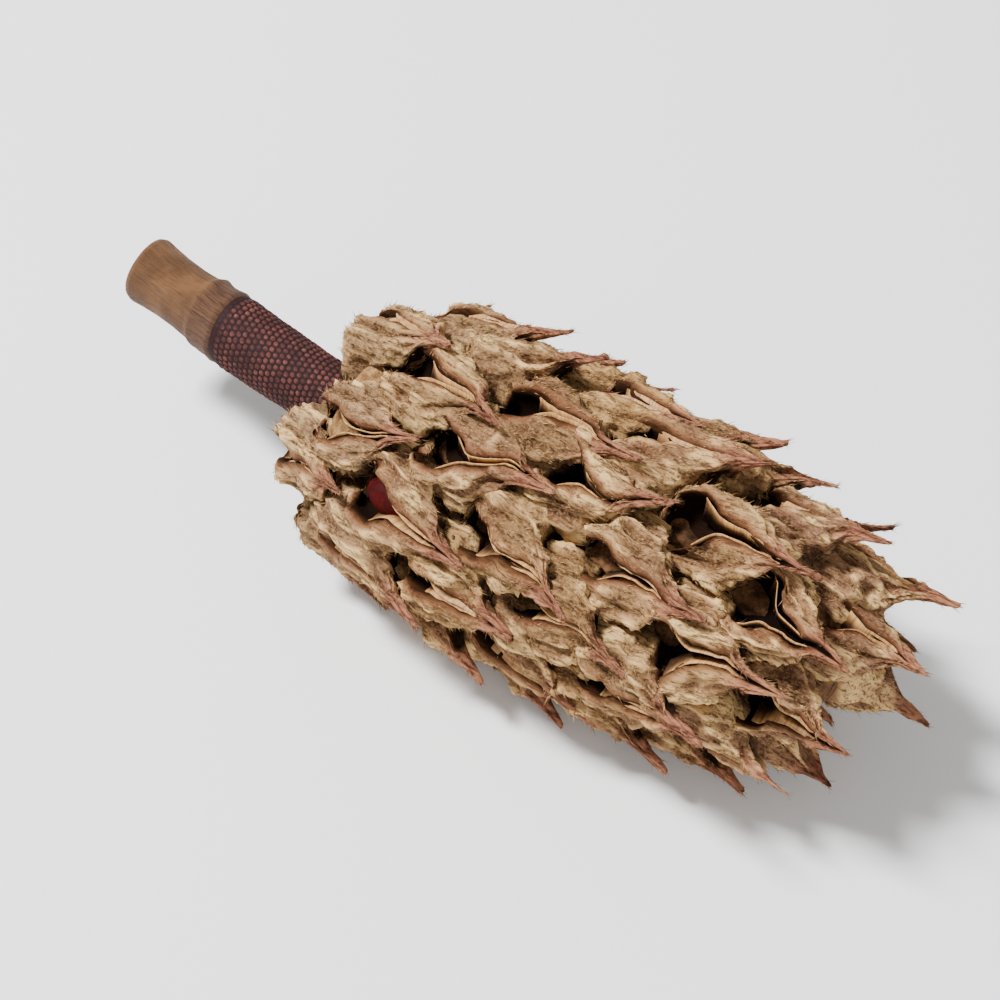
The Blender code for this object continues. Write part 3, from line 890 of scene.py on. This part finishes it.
def velvet_material():
    """The follicles: tan velvet outside, pinkish-brown beaks and lip edges, brown hollows painted near-black
    as shade.
    """
    n = Nodes("follicle_velvet")
    inside, tone, relief, where = n.fact("inside"), n.fact("tone"), n.fact("relief"), n.place()
    lengthwise = n.vector(
        n.math("MULTIPLY_ADD", n.fact("forward"), 0.22, n.math("MULTIPLY", tone, 40)),
        n.math("MULTIPLY", n.fact("across"), 1.25),
        n.math("MULTIPLY", n.fact("up"), 1.25),
    )
    patches = n.noise(where, 230, 3)
    clouds = n.noise(where, 90, 2)
    fine = n.noise(where, 2400, 4, 0.7)
    streaks = n.noise(lengthwise, 1.5, 4, 0.7)
    tan = n.layered(
        n.mix(n.ramp(patches, 0.36, 0.64), "735234", "b58e5e"),
        (n.ramp(tone, 0.2, 1.0, 0, 0.45), "845c46"),
        (n.ramp(tone, 0.0, 0.4, 0.55, 0), "bb9156"),
        (n.ramp(clouds, 0.45, 0.7, 0, 0.45), "6a4a38"),
        (n.math("MULTIPLY", n.fact("base"), 0.45), "a98d70"),
        (n.math("MULTIPLY", n.fact("tip"), 0.48), "956a5a"),
        # The long fold's dark pinkish brown: partly the skin's own colour along its folds, partly painted
        # shade in the crease.
        (n.ramp(n.fact("fold"), 0.25, 0.9, 0, 0.7), "5e3626"),
        # Painted shade where the skin's relief is low and a painted highlight where it stands high.
        (n.ramp(relief, -0.1, 0.6, 0.85, 0), "4a2f1e"),
        (n.ramp(relief, 0.56, 1.0, 0, 0.85), "f0c585"),
        (n.ramp(streaks, 0.46, 0.63, 0, 0.85), "3a2013"),
        (n.ramp(fine, 0.42, 0.75, 0, 0.35), "d8b484"),
    )
    pink = n.mix(n.ramp(streaks, 0.40, 0.68), "a56d55", "4e2c21")
    # Painted shade on the beaks where their relief is low.
    pink = n.layered(pink, (n.ramp(relief, -0.1, 0.6, 0.7, 0), "3c2119"))
    toward_beak = n.math("MULTIPLY_ADD", streaks, 0.4, n.fact("beak"))
    outside = n.mix(n.ramp(toward_beak, 0.26, 0.8, 0, 0.9), tan, pink)
    outside = n.layered(outside, (n.ramp(n.fact("rim"), 0.45, 1.0, 0, 0.6), "8a543b"))
    # The slit's inner wall: dark brown, partly its own colour and partly painted shade, near-black deep
    # inside as painted shade.
    hollow = n.mix(n.ramp(streaks, 0.35, 0.7), "442a17", "23130a")
    hollow = n.layered(hollow, (n.ramp(inside, 0.6, 1.0), "100805"))
    colour = n.layered(
        n.mix(n.ramp(inside, 0.2, 0.6), outside, hollow),
        # Painted shade: dark low on each follicle and at the bottom of its slit.
        (n.ramp(n.fact("low"), 0.35, 0.95, 0, 0.85), "1e110a"),
        # Painted shadow: near-black on a follicle's underside where it overhangs the next.
        (n.ramp(n.fact("over"), 0.25, 0.8, 0, 0.95), "0e0604"),
    )
    velvet = n.bump(fine, 0.15 * MM, 0.9)
    normal = n.bump(streaks, 0.5 * MM, 0.8, velvet)
    return n.finish(colour, 0.92, normal, Specular_IOR_Level=0.05)


def lining_material():
    """The papery linings: golden at the free edge, brown and streaked below, darker deep in the slit as
    painted shade.
    """
    n = Nodes("lining_parchment")
    streaks = n.noise(n.vector(n.fact("forward"), n.fact("tone"), 0.0), 2.4, 4, 0.7)
    fine = n.noise(n.place(), 1500, 3)
    edge = n.mix(n.ramp(streaks, 0.35, 0.7), "c3955a", "85573a")
    deep = n.mix(n.ramp(fine, 0.3, 0.7), "5a3a22", "301a10")
    # Painted shade: darker towards the lining's deep foot in the slit.
    colour = n.mix(n.ramp(n.fact("depth"), 0.1, 0.75), edge, deep)
    return n.finish(colour, 0.55, n.bump(fine, 0.1 * MM, 0.7), Specular_IOR_Level=0.35)


def core_material():
    """The pod's core: dark brown at the bottom of the gaps, painted near-black as shade in its dips, woolly
    tan at the shoulder round the stalk.
    """
    n = Nodes("core_wood")
    grain = n.noise(n.place(), 900, 4, 0.7)
    dark = n.mix(n.ramp(grain, 0.3, 0.7), "3a2417", "7a5739")
    # Painted shade: near-black where the core's lumps dip.
    dark = n.mix(n.ramp(n.fact("lump"), -0.7, 0.5), "160b07", dark)
    wool = n.mix(n.ramp(grain, 0.35, 0.7), "6e4c30", "a98455")
    colour = n.mix(n.fact("base"), dark, wool)
    return n.finish(colour, 0.95, n.bump(grain, 0.5 * MM, 0.8), Specular_IOR_Level=0.12)


def shoulder(x):
    """How far the woolly shoulder stands out of the core at distances along it."""
    return SHOULDER_HEIGHT * np.exp(-(((x - SHOULDER_AT) / SHOULDER_SPREAD) ** 2))


CORE_RINGS = 90
CORE_SIDES = 96
# The core's first rings, inside the shoulder: places along the axis, and radii.
CORE_START = ((-1.2 * MM, 5.2 * MM), (-0.9 * MM, 7.2 * MM))
# Heights as shares of the lump height, sizes in millimetres, and seeds.
CORE_LUMPS = ((1.0, 3.1, 71), (0.6, 1.3, 72))
LUMP_HEIGHT = 0.6 * MM
WOOL_END = 14 * MM
WOOL_FADE = 4 * MM


def core():
    """The turned core with its woolly shoulder, its skin uneven."""
    x, r = meridian()
    at = np.linspace(0, len(x) - 1, CORE_RINGS).astype(int)[:-1]
    turn = 2 * math.pi * np.arange(CORE_SIDES) / CORE_SIDES
    start_x, start_r = zip(*CORE_START)
    along = np.concatenate([start_x, x[at]])
    radius = np.concatenate([start_r, r[at] + np.maximum(FILL_HEIGHT, shoulder(x[at]))])
    radius = radius[:, None] + 0 * turn
    points = np.stack([along[:, None] + 0 * turn, radius * np.sin(turn), radius * np.cos(turn)], -1)
    lumps = sum(height * value_noise(points / MM / size, seed) for height, size, seed in CORE_LUMPS)
    points[..., 1:] *= 1 + lumps[..., None] * LUMP_HEIGHT / radius[..., None]
    wool = np.clip((WOOL_END - along) / WOOL_FADE, 0, 1)[:, None]
    return tube_mesh("core", points + POD_START, {"base": wool, "lump": lumps})


def stalk_centre(back):
    """Points on the stalk's centre line at distances back from the head."""
    back = np.asarray(back, float)
    share = np.maximum(0, back) / (SCAR_LENGTH + COLLAR_LENGTH + PEDUNCLE_LENGTH)
    line = np.stack([-back, 0 * back, 0 * back], -1)
    return POD_START + line + STALK_BEND * share[..., None] ** BEND_POWER


def turned(centres, radii, turn):
    """Rings of points round the centres, in planes across the pod's axis."""
    across = np.stack([0 * turn, np.sin(turn), np.cos(turn)], -1)
    return centres[:, None] + radii[..., None] * across


# A scar's shape, in shares of its half width, and how unevenly high the scars stand.
SCAR_SQUASH = 0.85
MOUND_POWER = 2.2
PIT_REACH = 0.4
PIT_DEPTH = 0.45
SCAR_UNEVEN = 0.25
SCAR_FADE = 1 / 14
SCAR_NOISE_STEP = 0.73
SCAR_SEED = 31


def scar_zone():
    """The scar zone: staggered rows of tiny raised scars, each with a pit at its middle."""
    sides = SCARS_ROUND * POINTS_A_SCAR
    rows = SCAR_ROWS * POINTS_A_SCAR
    turn = 2 * math.pi * np.arange(sides) / sides
    share = np.linspace(0, 1, rows + 1)[:, None]
    row = share * SCAR_ROWS
    column = SCARS_ROUND * turn / (2 * math.pi) + 0.5 * (np.floor(row) % 2)
    u = 2 * (column % 1) - 1
    v = 2 * (row % 1) - 1
    reach = np.sqrt(u**2 + (SCAR_SQUASH * v) ** 2)
    mound = np.clip(1 - reach**MOUND_POWER, 0, 1)
    pit = np.clip(1 - reach / PIT_REACH, 0, 1)
    cells = np.stack([np.floor(column), np.floor(row) + 0 * column, 0 * column], -1)
    uneven = 1 - SCAR_UNEVEN + SCAR_UNEVEN * value_noise(cells * SCAR_NOISE_STEP, SCAR_SEED)
    fade = np.clip(np.minimum(share, 1 - share) / SCAR_FADE, 0, 1)
    height = (mound - PIT_DEPTH * pit) * uneven * fade
    radius = SCAR_HEAD_RADIUS + (SCAR_COLLAR_RADIUS - SCAR_HEAD_RADIUS) * share + SCAR_HEIGHT * height
    centres = stalk_centre(share[:, 0] * (SCAR_LENGTH + JOIN_GAP / 2))
    rings = turned(centres, radius + 0 * turn, turn)
    socket = np.array([POD_START + (SOCKET_DEPTH, 0, 0)])
    root = turned(socket, np.full((1, sides), SCAR_HEAD_RADIUS), turn)
    facts = {
        "scar": height,
        "head_end": (1 - share) + 0 * turn,
        "lower": 0.5 - 0.5 * np.cos(turn) + 0 * share,
    }
    facts = {key: np.concatenate([values[:1], values]) for key, values in facts.items()}
    return tube_mesh("scar_zone_surface", np.concatenate([root, rings]), facts)


STALK_SOCKET_RADIUS = 4.6 * MM
# The bark's fibres and lumps: heights as shares of the radius, sizes in millimetres, and seeds.
BARK_SEED = 43
BARK_RADIUS = 4.8
BARK_FIBRES = ((1.0, (6.0, 0.9, 0.9), 41), (0.5, (3.0, 0.45, 0.45), 42))
FIBRE_SHARE = 0.006
BARK_LUMP_SIZE = (2.2, 2.4, 2.4)
LUMP_SHARE = 0.012
COLLAR_FADE = (0.30, 0.05)
COLLAR_LUMP_SIZE = 1.3
COLLAR_SHARE = 0.02
# The cut end's grain, sizes in millimetres and seeds, its roughness and its hollow middle.
CUT_GRAIN = (((3.0, 0.5, 0.5), 45), ((3.0, 1.7, 1.7), 46))
CUT_ROUGHNESS = 0.14 * MM
CUT_HOLLOW = 0.25 * MM


def bark_radius(share, length, turn):
    """The cut stalk's radius at shares of its length and at turns round it, with its fibres and lumps."""
    radius = np.interp(share, *PEDUNCLE_PROFILE)[:, None] * MM
    out = BARK_RADIUS + 0 * radius
    along = share[:, None] * length / MM + 0 * turn
    place = np.stack([along, out * np.sin(turn), out * np.cos(turn)], -1)
    fibres = sum(height * value_noise(place / size, seed) for height, size, seed in BARK_FIBRES)
    lumps = value_noise(place / BARK_LUMP_SIZE, BARK_SEED)
    collar = fade_out(share, *COLLAR_FADE)[:, None] * value_noise(place / COLLAR_LUMP_SIZE, BARK_SEED + 1)
    return radius * (1 + FIBRE_SHARE * fibres + LUMP_SHARE * lumps + COLLAR_SHARE * collar)


def peduncle():
    """The cut stalk: the collar's uneven ring, a fibrous skin and a rough slanted cut end."""
    turn = 2 * math.pi * np.arange(STALK_SIDES) / STALK_SIDES
    length = COLLAR_LENGTH + PEDUNCLE_LENGTH - JOIN_GAP
    share = np.linspace(0, 1, PEDUNCLE_RINGS)
    radius = bark_radius(share, length, turn)
    middle = stalk_centre(SCAR_LENGTH + JOIN_GAP + share * length)
    rings = turned(middle, radius, turn)
    rings[..., 0] += CUT_SLANT * share[:, None] ** 4 * (rings[..., 2] - middle[:, None, 2])
    socket_radius = np.full((1, STALK_SIDES), STALK_SOCKET_RADIUS)
    start = turned(stalk_centre([SCAR_LENGTH - JOIN_GAP]), socket_radius, turn)
    inward = np.linspace(1, 0, CUT_RINGS + 1)[1:-1]
    face = middle[-1] + (rings[-1] - middle[-1]) * inward[:, None, None]
    rough = sum(value_noise(face / MM / size, seed) for size, seed in CUT_GRAIN)
    face[..., 0] += CUT_ROUGHNESS * rough + CUT_HOLLOW * (1 - inward[:, None])
    flat = np.ones(STALK_SIDES)
    along = np.concatenate([[0], share, 0 * inward + 1])
    facts = {
        "along": along[:, None] * flat,
        "cut": np.concatenate([[0], 0 * share, 0 * inward + 1])[:, None] * flat,
        "from_middle": np.concatenate([[1], 0 * share + 1, inward])[:, None] * flat,
        "turn_y": np.sin(turn) + 0 * along[:, None],
        "turn_z": np.cos(turn) + 0 * along[:, None],
    }
    return tube_mesh("peduncle_surface", np.concatenate([start, rings, face]), facts)


def scar_material():
    """Dark purple-brown scars with a dull sheen, redder near the head on the lower side, lighter on raised
    tops as a painted glint.
    """
    n = Nodes("scar_bark")
    fine = n.noise(n.place(), 1800, 3)
    clouds = n.noise(n.place(), 260, 2)
    red = n.math("MULTIPLY", n.ramp(n.fact("head_end"), 0.45, 1.0), n.ramp(n.fact("lower"), 0.2, 0.7))
    raised = n.layered(
        n.mix(n.ramp(clouds, 0.35, 0.65), "3f2020", "5a302a"),
        (n.math("MULTIPLY", red, 0.8), "6d2a20"),
        (n.ramp(fine, 0.4, 0.7, 0, 0.5), "84564c"),
    )
    # Lighter on the raised scars as a painted glint; dark in the gaps between them, partly their own dark
    # outline and partly painted shade.
    colour = n.mix(n.ramp(n.fact("scar"), 0.15, 0.8), "251415", raised)
    return n.finish(colour, 0.7, n.bump(fine, 0.12 * MM, 0.6), Specular_IOR_Level=0.12)


def peduncle_material():
    """The tan, fibrous cut stalk, browner at its collar and at the rim of its pale cut."""
    n = Nodes("peduncle_bark")
    along, turn_z, from_middle = n.fact("along"), n.fact("turn_z"), n.fact("from_middle")
    lengthwise = n.vector(
        n.math("MULTIPLY", along, 3.2),
        n.math("MULTIPLY", n.fact("turn_y"), 14),
        n.math("MULTIPLY", turn_z, 14),
    )
    fibres = n.noise(lengthwise, 1.6, 4, 0.65)
    clouds = n.noise(n.place(), 190, 3)
    fine = n.noise(n.place(), 2200, 3)
    skin = n.mix(n.ramp(clouds, 0.35, 0.65), "53361c", "6e4b2c")
    skin = n.layered(skin, (n.ramp(fibres, 0.48, 0.72, 0, 0.75), "3c2413"))
    border = n.math("MULTIPLY_ADD", clouds, 0.10, along)
    border = n.math("MULTIPLY_ADD", turn_z, 0.03, border)
    collar = n.mix(n.ramp(fibres, 0.35, 0.7), "5c3d27", "352016")
    skin = n.mix(n.ramp(border, 0.27, 0.36), collar, skin)
    skin = n.layered(skin, (n.ramp(along, 0.93, 1.0, 0, 0.5), "6d452b"))
    wood = n.mix(n.ramp(fine, 0.35, 0.65), "967048", "6d4a2c")
    wood = n.mix(n.ramp(from_middle, 0.25, 0.45), "5b3a24", wood)
    wood = n.layered(wood, (n.ramp(from_middle, 0.78, 0.98), "6b4630"))
    colour = n.mix(n.fact("cut"), skin, wood)
    normal = n.bump(fibres, 0.6 * MM, 0.7, n.bump(fine, 0.1 * MM, 0.5))
    return n.finish(colour, 0.72, normal, Specular_IOR_Level=0.3)


SEED_SEGMENTS = 64
SEED_RINGS = 48
SEED_POLE = 0.02
SEED_WRINKLES = 0.035
SEED_WRINKLE_COUNTS = (1.5, 4, 4)
SEED_DENTS = 0.02
SEED_DENT_COUNT = 2.2
SEED_SEED = 50


def seed_surface(f, seed):
    """A waxy seed, faintly wrinkled by drying."""
    matrix = follicle_frame(f) @ Matrix.Translation(SEED_PLACE)
    place, turn, _ = matrix.decompose()
    along = np.linspace(SEED_POLE, math.pi - SEED_POLE, SEED_RINGS)[:, None]
    around = 2 * math.pi * np.arange(SEED_SEGMENTS) / SEED_SEGMENTS
    ring = np.sin(along)
    ball = np.stack([np.cos(along) + 0 * around, ring * np.cos(around), ring * np.sin(around)], -1)
    wrinkles = SEED_WRINKLES * np.abs(value_noise(ball * SEED_WRINKLE_COUNTS, seed))
    wrinkled = 1 - wrinkles - SEED_DENTS * value_noise(ball * SEED_DENT_COUNT, seed + 1)
    points = ball * wrinkled[..., None] * np.array(SEED_HALF)
    return moved(Matrix.LocRotScale(place, turn, None), points)


def seed_material():
    """The seeds' dried scarlet coat, its red darkened as painted shade."""
    n = Nodes("seed_coat")
    clouds = n.noise(n.place(), 420, 3)
    fine = n.noise(n.place(), 2600, 3)
    # Dark red: partly the dried coat's own colour and partly painted shade, for seeds that lie in shadow in
    # the slits.
    colour = n.mix(n.ramp(clouds, 0.35, 0.65), "2a0303", "480606")
    colour = n.layered(colour, (n.ramp(fine, 0.55, 0.8, 0, 0.4), "5e1510"))
    roughness = n.ramp(clouds, 0.3, 0.7, 0.6, 0.75)
    return n.finish(colour, roughness, n.bump(fine, 0.12 * MM, 0.7), Specular_IOR_Level=0.08)


FLOOR_SIZE = 6
FLOOR_DROP = 0.2 * MM
FLOOR_COLOUR = (0.92, 0.92, 0.92, 1)
FLOOR_ROUGHNESS = 0.8
WORLD_STRENGTH = 0.5
# Each lamp's name, place, size and power in watts.
LIGHTS = (
    ("key", (-0.40, -0.18, 0.80), 0.18, 20.0),
    ("fill", (0.6, -0.5, 0.4), 0.6, 2.0),
)


def floor_and_lights():
    """A wide pale floor and soft studio light."""
    bpy.ops.mesh.primitive_plane_add(size=FLOOR_SIZE, location=(0, 0, -FLOOR_DROP))
    floor = bpy.context.object
    floor.name = "floor"
    n = Nodes("floor_white")
    floor.data.materials.append(n.finish(FLOOR_COLOUR, FLOOR_ROUGHNESS))
    world = bpy.data.worlds.new("studio")
    bpy.context.scene.world = world
    world.use_nodes = True
    background = world.node_tree.nodes["Background"]
    background.inputs["Color"].default_value = (1, 1, 1, 1)
    background.inputs["Strength"].default_value = WORLD_STRENGTH
    for name, place, size, power in LIGHTS:
        lamp = bpy.data.lights.new(name, "AREA")
        lamp.size = size
        lamp.energy = power
        shown = bpy.data.objects.new(name, lamp)
        shown.location = place
        shown.rotation_euler = (-Vector(place)).to_track_quat("-Z", "Y").to_euler()
        bpy.context.scene.collection.objects.link(shown)


VIEW_AZIMUTH = math.radians(35)
VIEW_ELEVATION = math.radians(50)
LENS = 90
NEAREST_SEEN = 10 * MM
VIEW_TARGET = Vector((0.0, 0.0, 0.017))
VIEW_DISTANCE = 0.333


def add_camera():
    """The photograph's viewing angle, closer up."""
    level = math.cos(VIEW_ELEVATION)
    right, ahead = math.sin(VIEW_AZIMUTH) * level, -math.cos(VIEW_AZIMUTH) * level
    back = Vector((right, ahead, math.sin(VIEW_ELEVATION)))
    data = bpy.data.cameras.new("camera")
    data.lens = LENS
    data.clip_start = NEAREST_SEEN
    camera = bpy.data.objects.new("camera", data)
    camera.location = VIEW_TARGET + back * VIEW_DISTANCE
    camera.rotation_euler = (-back).to_track_quat("-Z", "Y").to_euler()
    bpy.context.scene.collection.objects.link(camera)
    bpy.context.scene.camera = camera


def main():
    add_camera()
    floor_and_lights()
    follicles = layout()
    velvet = velvet_material()
    felt = fuzz_material()
    draw = np.random.default_rng(HAIR_SEED)
    for name, (first, last) in BANDS.items():
        parts = Parts()
        surfaces = [(f, *follicle_surface(f)) for f in follicles[first:last]]
        for _, rings, facts in surfaces:
            parts.add(rings, facts)
        add_piece(name, parts.mesh(name), velvet, ["follicle_head"])
        fuzz = name.replace("follicles", "fuzz")
        add_piece(fuzz, fuzz_mesh(fuzz, surfaces, draw), felt)
    add_piece("linings", linings_mesh(follicles), lining_material())
    add_piece("core", core(), core_material())
    add_piece("scar_zone_surface", scar_zone(), scar_material(), ["scar_zone"])
    add_piece("peduncle_surface", peduncle(), peduncle_material(), ["peduncle"])
    coat = seed_material()
    for i, (name, number) in enumerate(SEED_FOLLICLES.items()):
        mesh = tube_mesh(name + "_coat", seed_surface(follicles[number], SEED_SEED + 2 * i), {})
        add_piece(name + "_coat", mesh, coat, [name])


main()
